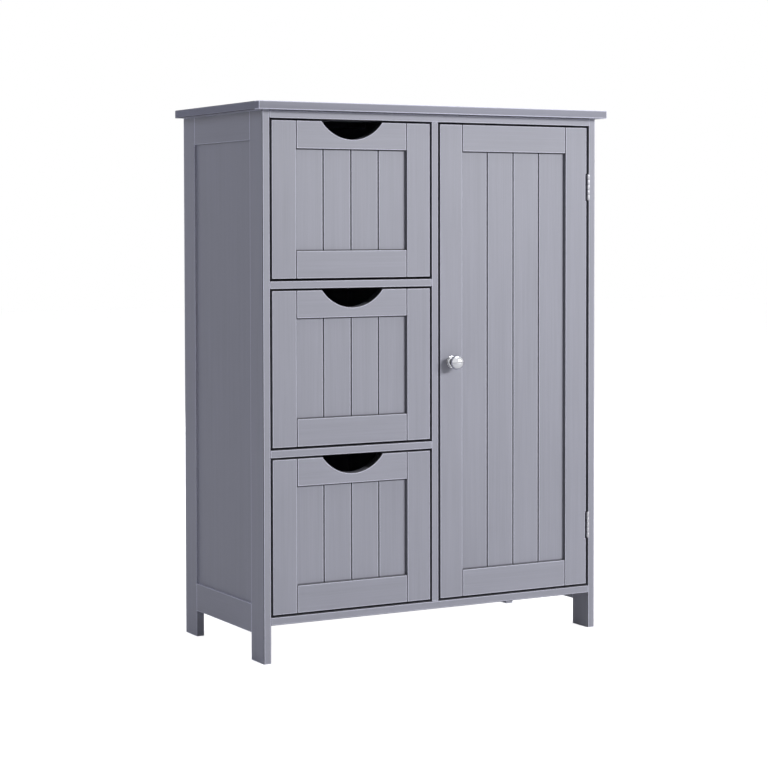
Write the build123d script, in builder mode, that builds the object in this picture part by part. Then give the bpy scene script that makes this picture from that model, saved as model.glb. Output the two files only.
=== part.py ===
from build123d import *
import os
from math import acos, atan2, cos, degrees, pi, sin, sqrt

# A free-standing painted bathroom cabinet: three drawers stacked on the left, a cupboard with
# one door and one shelf on the right, and two framed sides whose uprights are the legs.
# Millimetres. X runs along the front to the right, Y from the front to the back and Z up.
# The origin is on the floor, in the middle of the overall width and of the overall depth, which
# runs from the tip of the knob to the back edge of the top.

# Flat sides that the turned pieces have, which keep the model light
KNOB_SIDES = 24
PIN_SIDES = 16
SCREW_SIDES = 8

# Body and top
BODY_WIDTH = 576.0  # outer face to outer face of the sides
BODY_DEPTH = 280.0
HEIGHT = 810.0  # floor to the upper face of the top
TOP_THICKNESS = 12.0
TOP_SIDE_OVERHANG = 12.0
TOP_FRONT_OVERHANG = 15.0
TOP_BACK_OVERHANG = 5.0
TOP_EDGE_ROUND = 1.5
ARRIS = 1.0  # the small bevel that painting needs on every edge in view

# Side frames: two legs and two rails round a thin panel
SIDE_THICKNESS = 12.0
LEG_WIDTH = 42.0
SIDE_RAIL_HEIGHT = 42.0
SIDE_RAIL_LIFT = 40.0  # floor to the lower side rail
SIDE_PANEL_THICKNESS = 6.0
SIDE_PANEL_RECESS = 3.0  # outer face of the legs to the panel

# Boards inside the body
BOARD = 12.0
BOTTOM_LIFT = 55.0  # floor to the bottom board
RAIL_DEPTH = 60.0  # how far the flat rails reach back, and the back one forward
DRAWER_BAY_WIDTH = 268.0
DRAWER_COUNT = 3
DRAWER_RAIL_DROP = 1.6  # the rails lie this far below an even division of the height
BACK_THICKNESS = 3.0
BACK_INSET = 10.0  # back panel to the back edges of the legs
BACK_GROOVE_DEPTH = 5.0

# Flush fronts: the three drawers and the door are framed alike
FRONT_THICKNESS = 15.0
FRONT_STILE_WIDTH = 40.0
FRONT_RAIL_HEIGHT = 41.0
FRONT_PANEL_THICKNESS = 6.0
FRONT_PANEL_RECESS = 5.0  # face of the frame to the panel
FRONT_SIDE_GAP = 2.5
FRONT_TOP_GAP = 2.0
FRONT_BOTTOM_GAP = 2.5
PLANKS = 4  # widths that the V-grooves divide each panel into
VEE_WIDTH = 3.2
PANEL_GROOVE_DEPTH = 6.0
PANEL_EDGE_GAP = 0.5  # room for a panel to move in its grooves

# Finger cut-out in the top edge of each drawer front
CUTOUT_WIDTH = 100.0
CUTOUT_DEPTH = 26.0

# Drawer boxes and the strips that carry them
BOX_CLEARANCE = 3.0  # box to the side, and to the divider
BOX_BOARD = 12.0
BOX_HEIGHT = 150.0
BOX_LIFT = 8.0  # lower edge of the front to the lower edge of the box
BOX_BOTTOM_THICKNESS = 3.0
BOX_BOTTOM_LIFT = 8.0  # lower edge of the box to its bottom
HOUSING_DEPTH = 4.0  # how deep the bottom and the back are let in
BOX_BACK_GAP = 0.8  # the closed box to the back panel that stops it
RUNNER_HEIGHT = 10.0
RUNNER_GROOVE_DEPTH = 6.0
RUNNER_PLAY = 0.3
RUNNER_END_GAP = 3.0

# Shelf on four stepped pins, with spare holes above and below
SHELF_HEIGHT = 396.0  # floor to the under face of the shelf
SHELF_END_GAP = 1.0
SHELF_SETBACK = 24.0  # face of the legs to the front edge of the shelf
SHELF_BACK_GAP = 2.0
PIN_STEM_RADIUS = 2.5
PIN_HEAD_RADIUS = 3.5
PIN_STEM_LENGTH = 8.0
PIN_HEAD_LENGTH = 8.0
PIN_PLAY = 0.05
PIN_FRONT_INSET = 32.0  # face of the legs to the front pins
PIN_BACK_INSET = 30.0  # back of the legs to the back pins
PIN_HOLE_PITCH = 64.0

# Butt hinges on the right of the door
HINGE_GAP = 3.5  # edge of the door to the leg
HINGE_INSET = 93.0  # end of the door to the middle of the hinge
HINGE_HEIGHT = 39.5
BARREL_RADIUS = 2.0
HINGE_PIN_RADIUS = 1.0
HINGE_PIN_PLAY = 0.05
HINGE_PIN_HEAD = 1.0
LEAF_THICKNESS = 0.9
LEAF_DEPTH = 13.0
KNUCKLES = 5
KNUCKLE_GAP = 0.3
RELIEF_WIDTH = 2.6  # the notch in the door's edge that frees the barrel
RELIEF_DEPTH = 5.0
RELIEF_END_GAP = 1.5

# Knob
KNOB_PROJECTION = 25.0
KNOB_HEAD_RADIUS = 11.0
KNOB_HEAD_DEPTH = 11.0
KNOB_RIM_LIFT = 3.0  # underside of the head to its widest line
KNOB_CROWN_RADIUS = 2.0  # the flat middle of the head
KNOB_DOME_CUTS = 4
KNOB_FLANGE_RADIUS = 9.0
KNOB_FLANGE_THICKNESS = 3.0
KNOB_FLANGE_BEVEL = 1.5
KNOB_NECK_RADIUS = 4.2
KNOB_STUD_RADIUS = 2.0
KNOB_STUD_LENGTH = 11.0
KNOB_STUD_PLAY = 0.05

# Magnetic catch and its plate
CATCH_OFFSET = 70.0  # divider to the middle of the catch
CATCH_WIDTH = 30.0
CATCH_DEPTH = 14.0
CATCH_HEIGHT = 12.0
CATCH_EAR_WIDTH = 9.0
CATCH_EAR_THICKNESS = 2.0
CATCH_GAP = 0.3
POLE_HEIGHT = 2.0
POLE_PROJECTION = 1.0
PLATE_WIDTH = 34.0
PLATE_HEIGHT = 9.0
PLATE_THICKNESS = 1.0

# Countersunk screws
SCREW_RADIUS = 1.3
SCREW_HEAD_RADIUS = 2.5
SCREW_PLAY = 0.05
SCREW_TIP = 2.0
SCREW_TIP_RADIUS = 0.3
SCREW_END_ROOM = 0.5
LEAF_SCREW_LENGTH = 10.0
LEAF_SCREW_SPACING = 22.0
LEAF_SCREW_DEPTH = 9.0
RUNNER_SCREW_LENGTH = 16.0
RUNNER_SCREW_FRONT_INSET = 24.0  # face of the legs to the front screws, well clear of the pins
RUNNER_SCREW_BACK_INSET = 24.0  # back of the legs to the back screws
PLATE_SCREW_SPACING = 24.0

# Places worked out from the sizes above. A depth is measured back from the face of the legs.
OVERALL_DEPTH = KNOB_PROJECTION + BODY_DEPTH + TOP_BACK_OVERHANG
FACE_Y = KNOB_PROJECTION - OVERALL_DEPTH / 2
FRONT = Plane.XZ.offset(-FACE_Y)  # X across, Z up, and the normal towards the viewer
TOP_UNDERSIDE = HEIGHT - TOP_THICKNESS
SIDE_INNER = BODY_WIDTH / 2 - SIDE_THICKNESS
BACK_DEPTH = BODY_DEPTH - BACK_INSET - BACK_THICKNESS
INNER_FLOOR = BOTTOM_LIFT + BOARD
INNER_CEILING = TOP_UNDERSIDE - BOARD
DRAWER_BAY = (-SIDE_INNER, DRAWER_BAY_WIDTH - SIDE_INNER)
DIVIDER = (DRAWER_BAY[1], DRAWER_BAY[1] + BOARD)
CUPBOARD = (DIVIDER[1], SIDE_INNER)
OPENING_HEIGHT = (INNER_CEILING - INNER_FLOOR - (DRAWER_COUNT - 1) * BOARD) / DRAWER_COUNT
OPENING_PITCH = OPENING_HEIGHT + BOARD
FRONT_PANEL_DEPTHS = (FRONT_PANEL_RECESS, FRONT_PANEL_RECESS + FRONT_PANEL_THICKNESS)

os.makedirs("parts", exist_ok=True)


def save(piece, name):
    """Label a finished piece and write it under that name."""
    piece.part.label = name
    export_step(piece.part, f"parts/{name}.step")


def middle(span):
    return (span[0] + span[1]) / 2


def slab(across, up, depth, mode=Mode.ADD):
    """A straight block, by its spans in X, in Z and in depth behind the face of the legs."""
    with BuildSketch(FRONT.offset(-depth[0])) as outline:
        with Locations((middle(across), middle(up))):
            Rectangle(across[1] - across[0], up[1] - up[0])
    extrude(outline.sketch, amount=depth[0] - depth[1], mode=mode)


def ease_front_edges(piece, direction):
    """Bevel the foremost edges of a piece that run along one axis."""
    chamfer(piece.edges().filter_by(direction).group_by(Axis.Y)[0], ARRIS)


def turned(sides, stations):
    """A turned piece along Z, given by its radius and height wherever either changes."""
    with BuildPart(mode=Mode.PRIVATE) as body:
        for (radius, height), (next_radius, next_height) in zip(stations, stations[1:]):
            if next_height == height:
                continue
            with BuildSketch(Plane.XY.offset(height)) as section:
                RegularPolygon(radius, sides)
            narrowing = (radius - next_radius) * cos(pi / sides)
            taper = degrees(atan2(narrowing, abs(next_height - height)))
            extrude(section.sketch, amount=next_height - height, taper=taper)
    return body.part


def screw(length, play=0.0):
    """A countersunk wood screw along Z, with the flat of its head at the origin, pointing up.

    With some play it is the shape of the hole instead, which stays wide to its end.
    """
    head = SCREW_HEAD_RADIUS + play
    shank = SCREW_RADIUS + play
    tip = shank if play else SCREW_TIP_RADIUS
    taper_end = SCREW_RADIUS - SCREW_HEAD_RADIUS
    return turned(
        SCREW_SIDES, [(head, 0), (shank, taper_end), (shank, SCREW_TIP - length), (tip, -length)]
    )


def drill(seats, length):
    """Countersunk holes for screws whose heads lie at the seats and point out of the wood."""
    with Locations(*seats):
        add(screw(length + SCREW_END_ROOM, SCREW_PLAY), mode=Mode.SUBTRACT)


def seat(x, depth, z, outwards):
    """Where a screw's head lies, as a plane whose normal is the way out of the wood."""
    return Plane(origin=(x, FACE_Y + depth, z), z_dir=outwards)


# Top
with BuildPart() as top_board:
    with BuildSketch(Plane.XY.offset(TOP_UNDERSIDE)):
        with Locations((0, FACE_Y + (BODY_DEPTH + TOP_BACK_OVERHANG - TOP_FRONT_OVERHANG) / 2)):
            Rectangle(
                BODY_WIDTH + 2 * TOP_SIDE_OVERHANG,
                BODY_DEPTH + TOP_FRONT_OVERHANG + TOP_BACK_OVERHANG,
            )
    extrude(amount=TOP_THICKNESS)
    fillet(top_board.faces().sort_by(Axis.Z)[-1].edges(), TOP_EDGE_ROUND)
    chamfer(top_board.faces().sort_by(Axis.Z)[0].edges(), ARRIS)
save(top_board, "top_board")


# Screw places in the body, which the pieces that the screws pass through share
def opening_floor(index):
    """Floor height of a drawer opening, counted from the lowest."""
    return INNER_FLOOR + index * OPENING_PITCH - (DRAWER_RAIL_DROP if index else 0)


def opening_ceiling(index):
    return opening_floor(index + 1) - BOARD if index + 1 < DRAWER_COUNT else INNER_CEILING


def box_floor(index):
    return opening_floor(index) + FRONT_BOTTOM_GAP + BOX_LIFT


def runner_span(index):
    """Heights of a runner strip: halfway up the side of its drawer box."""
    low = box_floor(index) + (BOX_HEIGHT - RUNNER_HEIGHT) / 2
    return (low, low + RUNNER_HEIGHT)


RUNNER_THICKNESS = BOX_CLEARANCE + RUNNER_GROOVE_DEPTH - RUNNER_PLAY
RUNNER_DEPTHS = (FRONT_THICKNESS + RUNNER_END_GAP, BACK_DEPTH - RUNNER_END_GAP)
LEFT_RUNNER = (DRAWER_BAY[0], DRAWER_BAY[0] + RUNNER_THICKNESS)
RIGHT_RUNNER = (DRAWER_BAY[1] - RUNNER_THICKNESS, DRAWER_BAY[1])
RUNNER_SCREWS = {
    side: [
        seat(x, depth, middle(runner_span(index)), outwards)
        for index in range(DRAWER_COUNT)
        for depth in (RUNNER_SCREW_FRONT_INSET, BODY_DEPTH - RUNNER_SCREW_BACK_INSET)
    ]
    for side, x, outwards in (
        ("left", LEFT_RUNNER[1], (1, 0, 0)),
        ("right", RIGHT_RUNNER[0], (-1, 0, 0)),
    )
}

DOOR_ACROSS = (CUPBOARD[0] + FRONT_SIDE_GAP, CUPBOARD[1] - HINGE_GAP)
DOOR_UP = (INNER_FLOOR + FRONT_BOTTOM_GAP, INNER_CEILING - FRONT_TOP_GAP)
HINGE_HEIGHTS = (DOOR_UP[0] + HINGE_INSET, DOOR_UP[1] - HINGE_INSET)
HINGE_X = CUPBOARD[1] - HINGE_GAP / 2
BARREL_DEPTH = -BARREL_RADIUS  # the barrel stands in front of the face and just touches it


def leaf_screws(x, outwards):
    """Screw places of both hinges on one leaf each."""
    return [
        seat(x, LEAF_SCREW_DEPTH, height + step * LEAF_SCREW_SPACING / 2, outwards)
        for height in HINGE_HEIGHTS
        for step in (-1, 1)
    ]


FRAME_LEAF_SCREWS = leaf_screws(CUPBOARD[1] - LEAF_THICKNESS, (-1, 0, 0))
DOOR_LEAF_SCREWS = leaf_screws(DOOR_ACROSS[1] + LEAF_THICKNESS, (1, 0, 0))

CATCH_X = CUPBOARD[0] + CATCH_OFFSET
CATCH_FRONT = FRONT_THICKNESS + PLATE_THICKNESS + CATCH_GAP
CATCH_SCREWS = [
    seat(
        CATCH_X + step * (CATCH_WIDTH + CATCH_EAR_WIDTH) / 2,
        CATCH_FRONT + CATCH_DEPTH / 2,
        INNER_CEILING - CATCH_EAR_THICKNESS,
        (0, 0, -1),
    )
    for step in (-1, 1)
]

PIN_HEIGHT = SHELF_HEIGHT - PIN_HEAD_RADIUS
PIN_DEPTHS = (PIN_FRONT_INSET, BODY_DEPTH - PIN_BACK_INSET)


def pin_places(x, outwards):
    """Every shelf pin hole on one wall of the cupboard, at three heights."""
    return [
        seat(x, depth, PIN_HEIGHT + step * PIN_HOLE_PITCH, outwards)
        for depth in PIN_DEPTHS
        for step in (-1, 0, 1)
    ]


def bore_pin_holes(x, outwards):
    bore = PIN_STEM_RADIUS + PIN_PLAY
    with Locations(*pin_places(x, outwards)):
        add(
            turned(PIN_SIDES, [(bore, 0), (bore, -PIN_STEM_LENGTH - SCREW_END_ROOM)]),
            mode=Mode.SUBTRACT,
        )


# Side frames. The panel groove runs along the inner edges of the legs and rails; the rails have
# tongues that fill it at both ends, and the back panel has its own groove in the back legs.
SIDE_PANEL_IN = (SIDE_PANEL_RECESS, SIDE_PANEL_RECESS + SIDE_PANEL_THICKNESS)
LOWER_SIDE_RAIL = (SIDE_RAIL_LIFT, SIDE_RAIL_LIFT + SIDE_RAIL_HEIGHT)
UPPER_SIDE_RAIL = (TOP_UNDERSIDE - SIDE_RAIL_HEIGHT, TOP_UNDERSIDE)
SIDE_RAIL_DEPTHS = (LEG_WIDTH, BODY_DEPTH - LEG_WIDTH)


def inwards(side, near, far):
    """The X span between two distances in from the outer face of one side, -1 left, 1 right."""
    outer = side * BODY_WIDTH / 2
    return tuple(sorted((outer - side * near, outer - side * far)))


for side, word in ((-1, "left"), (1, "right")):
    whole = inwards(side, 0, SIDE_THICKNESS)
    groove = inwards(side, *SIDE_PANEL_IN)
    with BuildPart() as front_leg:
        slab(whole, (0, TOP_UNDERSIDE), (0, LEG_WIDTH))
        slab(
            groove,
            (LOWER_SIDE_RAIL[0], TOP_UNDERSIDE),
            (LEG_WIDTH - PANEL_GROOVE_DEPTH, LEG_WIDTH),
            mode=Mode.SUBTRACT,
        )
        ease_front_edges(front_leg, Axis.Z)
        if word == "left":
            drill(RUNNER_SCREWS["left"], RUNNER_SCREW_LENGTH)
        else:
            drill(FRAME_LEAF_SCREWS, LEAF_SCREW_LENGTH)
            bore_pin_holes(CUPBOARD[1], (-1, 0, 0))
    save(front_leg, f"{word}_front_leg")

    with BuildPart() as back_leg:
        slab(whole, (0, TOP_UNDERSIDE), (BODY_DEPTH - LEG_WIDTH, BODY_DEPTH))
        slab(
            groove,
            (LOWER_SIDE_RAIL[0], TOP_UNDERSIDE),
            (SIDE_RAIL_DEPTHS[1], SIDE_RAIL_DEPTHS[1] + PANEL_GROOVE_DEPTH),
            mode=Mode.SUBTRACT,
        )
        slab(
            inwards(side, SIDE_THICKNESS - BACK_GROOVE_DEPTH, SIDE_THICKNESS),
            (BOTTOM_LIFT, TOP_UNDERSIDE),
            (BACK_DEPTH, BACK_DEPTH + BACK_THICKNESS),
            mode=Mode.SUBTRACT,
        )
        chamfer(back_leg.edges().filter_by(Axis.Z).group_by(Axis.Y)[-1], ARRIS)
        if word == "left":
            drill(RUNNER_SCREWS["left"], RUNNER_SCREW_LENGTH)
        else:
            bore_pin_holes(CUPBOARD[1], (-1, 0, 0))
    save(back_leg, f"{word}_back_leg")

    tongue_depths = (
        SIDE_RAIL_DEPTHS[0] - PANEL_GROOVE_DEPTH,
        SIDE_RAIL_DEPTHS[1] + PANEL_GROOVE_DEPTH,
    )
    with BuildPart() as side_top_rail:
        slab(whole, UPPER_SIDE_RAIL, SIDE_RAIL_DEPTHS)
        slab(groove, (UPPER_SIDE_RAIL[0] + PANEL_GROOVE_DEPTH, UPPER_SIDE_RAIL[1]), tongue_depths)
        slab(
            groove,
            (UPPER_SIDE_RAIL[0], UPPER_SIDE_RAIL[0] + PANEL_GROOVE_DEPTH),
            tongue_depths,
            mode=Mode.SUBTRACT,
        )
    save(side_top_rail, f"{word}_side_top_rail")

    with BuildPart() as side_bottom_rail:
        slab(whole, LOWER_SIDE_RAIL, SIDE_RAIL_DEPTHS)
        slab(groove, (LOWER_SIDE_RAIL[0], LOWER_SIDE_RAIL[1] - PANEL_GROOVE_DEPTH), tongue_depths)
        slab(
            groove,
            (LOWER_SIDE_RAIL[1] - PANEL_GROOVE_DEPTH, LOWER_SIDE_RAIL[1]),
            tongue_depths,
            mode=Mode.SUBTRACT,
        )
    save(side_bottom_rail, f"{word}_side_bottom_rail")

    with BuildPart() as side_panel:
        slab(
            groove,
            (
                LOWER_SIDE_RAIL[1] - PANEL_GROOVE_DEPTH,
                UPPER_SIDE_RAIL[0] + PANEL_GROOVE_DEPTH - PANEL_EDGE_GAP,
            ),
            (tongue_depths[0] + PANEL_EDGE_GAP, tongue_depths[1] - PANEL_EDGE_GAP),
        )
    save(side_panel, f"{word}_side_panel")

# Boards and rails between the sides
BODY_ACROSS = (-SIDE_INNER, SIDE_INNER)

with BuildPart() as bottom_board:
    slab(BODY_ACROSS, (BOTTOM_LIFT, INNER_FLOOR), (0, BACK_DEPTH))
    ease_front_edges(bottom_board, Axis.X)
save(bottom_board, "bottom_board")

with BuildPart() as top_front_rail:
    slab(BODY_ACROSS, (INNER_CEILING, TOP_UNDERSIDE), (0, RAIL_DEPTH))
    ease_front_edges(top_front_rail, Axis.X)
    drill(CATCH_SCREWS, LEAF_SCREW_LENGTH)
save(top_front_rail, "top_front_rail")

with BuildPart() as top_back_rail:
    slab(BODY_ACROSS, (INNER_CEILING, TOP_UNDERSIDE), (BACK_DEPTH - RAIL_DEPTH, BACK_DEPTH))
save(top_back_rail, "top_back_rail")

# The divider stands on the bottom board and is notched round both top rails.
with BuildPart() as divider:
    slab(DIVIDER, (INNER_FLOOR, TOP_UNDERSIDE), (0, BACK_DEPTH))
    for notch in ((0, RAIL_DEPTH), (BACK_DEPTH - RAIL_DEPTH, BACK_DEPTH)):
        slab(DIVIDER, (INNER_CEILING, TOP_UNDERSIDE), notch, mode=Mode.SUBTRACT)
    ease_front_edges(divider, Axis.Z)
    drill(RUNNER_SCREWS["right"], RUNNER_SCREW_LENGTH)
    bore_pin_holes(CUPBOARD[0], (1, 0, 0))
save(divider, "divider")

with BuildPart() as drawer_rails:
    for index in range(1, DRAWER_COUNT):
        slab(DRAWER_BAY, (opening_floor(index) - BOARD, opening_floor(index)), (0, RAIL_DEPTH))
    ease_front_edges(drawer_rails, Axis.X)
save(drawer_rails, "drawer_rails")

with BuildPart() as back_panel:
    reach = SIDE_INNER + BACK_GROOVE_DEPTH - PANEL_EDGE_GAP
    slab((-reach, reach), (BOTTOM_LIFT, TOP_UNDERSIDE), (BACK_DEPTH, BACK_DEPTH + BACK_THICKNESS))
save(back_panel, "back_panel")

# Shelf and its pins
with BuildPart() as shelf:
    slab(
        (CUPBOARD[0] + SHELF_END_GAP, CUPBOARD[1] - SHELF_END_GAP),
        (SHELF_HEIGHT, SHELF_HEIGHT + BOARD),
        (SHELF_SETBACK, BACK_DEPTH - SHELF_BACK_GAP),
    )
    ease_front_edges(shelf, Axis.X)
save(shelf, "shelf")

PIN = turned(
    PIN_SIDES,
    [
        (PIN_STEM_RADIUS, -PIN_STEM_LENGTH),
        (PIN_STEM_RADIUS, 0),
        (PIN_HEAD_RADIUS, 0),
        (PIN_HEAD_RADIUS, PIN_HEAD_LENGTH - ARRIS),
        (PIN_HEAD_RADIUS - ARRIS, PIN_HEAD_LENGTH),
    ],
)

with BuildPart() as shelf_pins:
    for x, outwards in ((CUPBOARD[0], (1, 0, 0)), (CUPBOARD[1], (-1, 0, 0))):
        for depth in PIN_DEPTHS:
            with Locations(seat(x, depth, PIN_HEIGHT, outwards)):
                add(PIN)
save(shelf_pins, "shelf_pins")

# Runner strips, two to a drawer
with BuildPart() as drawer_runners:
    for index in range(DRAWER_COUNT):
        slab(LEFT_RUNNER, runner_span(index), RUNNER_DEPTHS)
        slab(RIGHT_RUNNER, runner_span(index), RUNNER_DEPTHS)
    drill(RUNNER_SCREWS["left"] + RUNNER_SCREWS["right"], RUNNER_SCREW_LENGTH)
save(drawer_runners, "drawer_runners")


def framed_front(across, up, with_cutout):
    """The five pieces of a flush front: left and right stile, top and bottom rail, panel.

    The stiles run the full height. A groove along every inner edge holds the panel, and the
    rails have tongues at both ends that fill the grooves of the stiles.
    """
    opening_across = (across[0] + FRONT_STILE_WIDTH, across[1] - FRONT_STILE_WIDTH)
    opening_up = (up[0] + FRONT_RAIL_HEIGHT, up[1] - FRONT_RAIL_HEIGHT)
    groove_across = (opening_across[0] - PANEL_GROOVE_DEPTH, opening_across[1] + PANEL_GROOVE_DEPTH)
    groove_up = (opening_up[0] - PANEL_GROOVE_DEPTH, opening_up[1] + PANEL_GROOVE_DEPTH)
    thick = (0, FRONT_THICKNESS)

    def stile(span, groove_span):
        with BuildPart(mode=Mode.PRIVATE) as upright:
            slab(span, up, thick)
            slab(groove_span, up, FRONT_PANEL_DEPTHS, mode=Mode.SUBTRACT)
            chamfer(upright.faces().sort_by(Axis.Y)[0].edges(), ARRIS)
        return upright.part

    def rail(span, tongue_span, groove_span, cutout):
        with BuildPart(mode=Mode.PRIVATE) as crosspiece:
            slab(opening_across, span, thick)
            slab(groove_across, tongue_span, FRONT_PANEL_DEPTHS)
            slab(opening_across, groove_span, FRONT_PANEL_DEPTHS, mode=Mode.SUBTRACT)
            if cutout:
                radius = (CUTOUT_WIDTH**2 / 4 + CUTOUT_DEPTH**2) / (2 * CUTOUT_DEPTH)
                with BuildSketch(FRONT) as bite:
                    with Locations((middle(across), up[1] - CUTOUT_DEPTH + radius)):
                        Circle(radius)
                extrude(bite.sketch, amount=-FRONT_THICKNESS, mode=Mode.SUBTRACT)
            chamfer(crosspiece.faces().sort_by(Axis.Y)[0].edges(), ARRIS)
        return crosspiece.part

    left = stile((across[0], opening_across[0]), (groove_across[0], opening_across[0]))
    right = stile((opening_across[1], across[1]), (opening_across[1], groove_across[1]))
    top = rail(
        (opening_up[1], up[1]), (groove_up[1], up[1]), (opening_up[1], groove_up[1]), with_cutout
    )
    bottom = rail(
        (up[0], opening_up[0]), (up[0], groove_up[0]), (groove_up[0], opening_up[0]), False
    )

    plank_width = (opening_across[1] - opening_across[0]) / PLANKS
    vees = [
        (opening_across[0] + plank_width * count, FACE_Y + FRONT_PANEL_RECESS)
        for count in range(1, PLANKS)
    ]
    with BuildPart(mode=Mode.PRIVATE) as panel:
        slab(
            (groove_across[0] + PANEL_EDGE_GAP, groove_across[1] - PANEL_EDGE_GAP),
            (groove_up[0], groove_up[1] - PANEL_EDGE_GAP),
            FRONT_PANEL_DEPTHS,
        )
        with BuildSketch(Plane.XY.offset(groove_up[0])) as vee:
            with Locations(*vees):
                Rectangle(VEE_WIDTH / sqrt(2), VEE_WIDTH / sqrt(2), rotation=45)
        extrude(vee.sketch, amount=groove_up[1] - groove_up[0], mode=Mode.SUBTRACT)
    return left, right, top, bottom, panel.part


# Drawers, from the lowest up. Each box is grooved outside for the runner strips, and inside for
# its bottom and its back; the front is let in for the bottom too.
BOX_ACROSS = (DRAWER_BAY[0] + BOX_CLEARANCE, DRAWER_BAY[1] - BOX_CLEARANCE)
BOX_DEPTHS = (FRONT_THICKNESS, BACK_DEPTH - BOX_BACK_GAP)
BOX_INNER = (BOX_ACROSS[0] + BOX_BOARD, BOX_ACROSS[1] - BOX_BOARD)
BOX_BACK_DEPTHS = (BOX_DEPTHS[1] - BOX_BOARD, BOX_DEPTHS[1])

for index, word in enumerate(("bottom", "middle", "top")[:DRAWER_COUNT]):
    front_across = (DRAWER_BAY[0] + FRONT_SIDE_GAP, DRAWER_BAY[1] - FRONT_SIDE_GAP)
    front_up = (
        opening_floor(index) + FRONT_BOTTOM_GAP,
        opening_ceiling(index) - FRONT_TOP_GAP,
    )
    left, right, top, bottom, panel = framed_front(front_across, front_up, with_cutout=True)
    box_up = (box_floor(index), box_floor(index) + BOX_HEIGHT)
    bottom_up = (box_up[0] + BOX_BOTTOM_LIFT, box_up[0] + BOX_BOTTOM_LIFT + BOX_BOTTOM_THICKNESS)
    bottom_space = (
        (BOX_INNER[0] - HOUSING_DEPTH, BOX_INNER[1] + HOUSING_DEPTH),
        bottom_up,
        (BOX_DEPTHS[0] - HOUSING_DEPTH, BOX_BACK_DEPTHS[0] + HOUSING_DEPTH),
    )

    with BuildPart() as left_stile:
        add(left)
        slab(*bottom_space, mode=Mode.SUBTRACT)
    save(left_stile, f"{word}_drawer_left_stile")

    with BuildPart() as right_stile:
        add(right)
        slab(*bottom_space, mode=Mode.SUBTRACT)
    save(right_stile, f"{word}_drawer_right_stile")

    with BuildPart() as bottom_rail:
        add(bottom)
        slab(*bottom_space, mode=Mode.SUBTRACT)
    save(bottom_rail, f"{word}_drawer_bottom_rail")

    with BuildPart() as top_rail:
        add(top)
    save(top_rail, f"{word}_drawer_top_rail")

    with BuildPart() as front_panel:
        add(panel)
    save(front_panel, f"{word}_drawer_front_panel")

    runner_up = runner_span(index)
    groove_up = (runner_up[0] - RUNNER_PLAY, runner_up[1] + RUNNER_PLAY)
    for hand, outer, inner, way in (
        ("left", BOX_ACROSS[0], BOX_INNER[0], 1),
        ("right", BOX_ACROSS[1], BOX_INNER[1], -1),
    ):
        with BuildPart() as box_side:
            slab(tuple(sorted((outer, inner))), box_up, BOX_DEPTHS)
            slab(
                tuple(sorted((outer, outer + way * RUNNER_GROOVE_DEPTH))),
                groove_up,
                BOX_DEPTHS,
                mode=Mode.SUBTRACT,
            )
            slab(
                tuple(sorted((inner, inner - way * HOUSING_DEPTH))),
                box_up,
                BOX_BACK_DEPTHS,
                mode=Mode.SUBTRACT,
            )
            slab(*bottom_space, mode=Mode.SUBTRACT)
        save(box_side, f"{word}_drawer_{hand}_side")

    with BuildPart() as box_back:
        slab((BOX_INNER[0] - HOUSING_DEPTH, BOX_INNER[1] + HOUSING_DEPTH), box_up, BOX_BACK_DEPTHS)
        slab(*bottom_space, mode=Mode.SUBTRACT)
    save(box_back, f"{word}_drawer_back")

    with BuildPart() as box_bottom:
        slab(*bottom_space)
    save(box_bottom, f"{word}_drawer_bottom")

# Door
KNOB_X = DOOR_ACROSS[0] + FRONT_STILE_WIDTH / 2
KNOB_Z = middle(DOOR_UP)
KNOB_SEAT = Plane(origin=(KNOB_X, FACE_Y, KNOB_Z), z_dir=(0, -1, 0))
PLATE_Z = INNER_CEILING - CATCH_HEIGHT / 2 - POLE_HEIGHT / 2
PLATE_SCREWS = [
    seat(
        CATCH_X + step * PLATE_SCREW_SPACING / 2,
        FRONT_THICKNESS + PLATE_THICKNESS,
        PLATE_Z,
        (0, 1, 0),
    )
    for step in (-1, 1)
]
left, right, top, bottom, panel = framed_front(DOOR_ACROSS, DOOR_UP, with_cutout=False)

with BuildPart() as door_knob_stile:
    add(left)
    bore = KNOB_STUD_RADIUS + KNOB_STUD_PLAY
    with Locations(KNOB_SEAT):
        add(
            turned(KNOB_SIDES, [(bore, 0), (bore, -KNOB_STUD_LENGTH - SCREW_END_ROOM)]),
            mode=Mode.SUBTRACT,
        )
save(door_knob_stile, "door_knob_stile")

with BuildPart() as door_hinge_stile:
    add(right)
    for height in HINGE_HEIGHTS:
        reach = HINGE_HEIGHT / 2 + RELIEF_END_GAP
        slab(
            (DOOR_ACROSS[1] - RELIEF_WIDTH, DOOR_ACROSS[1]),
            (height - reach, height + reach),
            (0, RELIEF_DEPTH),
            mode=Mode.SUBTRACT,
        )
    drill(DOOR_LEAF_SCREWS, LEAF_SCREW_LENGTH)
save(door_hinge_stile, "door_hinge_stile")

with BuildPart() as door_top_rail:
    add(top)
    drill(PLATE_SCREWS, LEAF_SCREW_LENGTH)
save(door_top_rail, "door_top_rail")

with BuildPart() as door_bottom_rail:
    add(bottom)
save(door_bottom_rail, "door_bottom_rail")

with BuildPart() as door_panel:
    add(panel)
save(door_panel, "door_panel")

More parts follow.
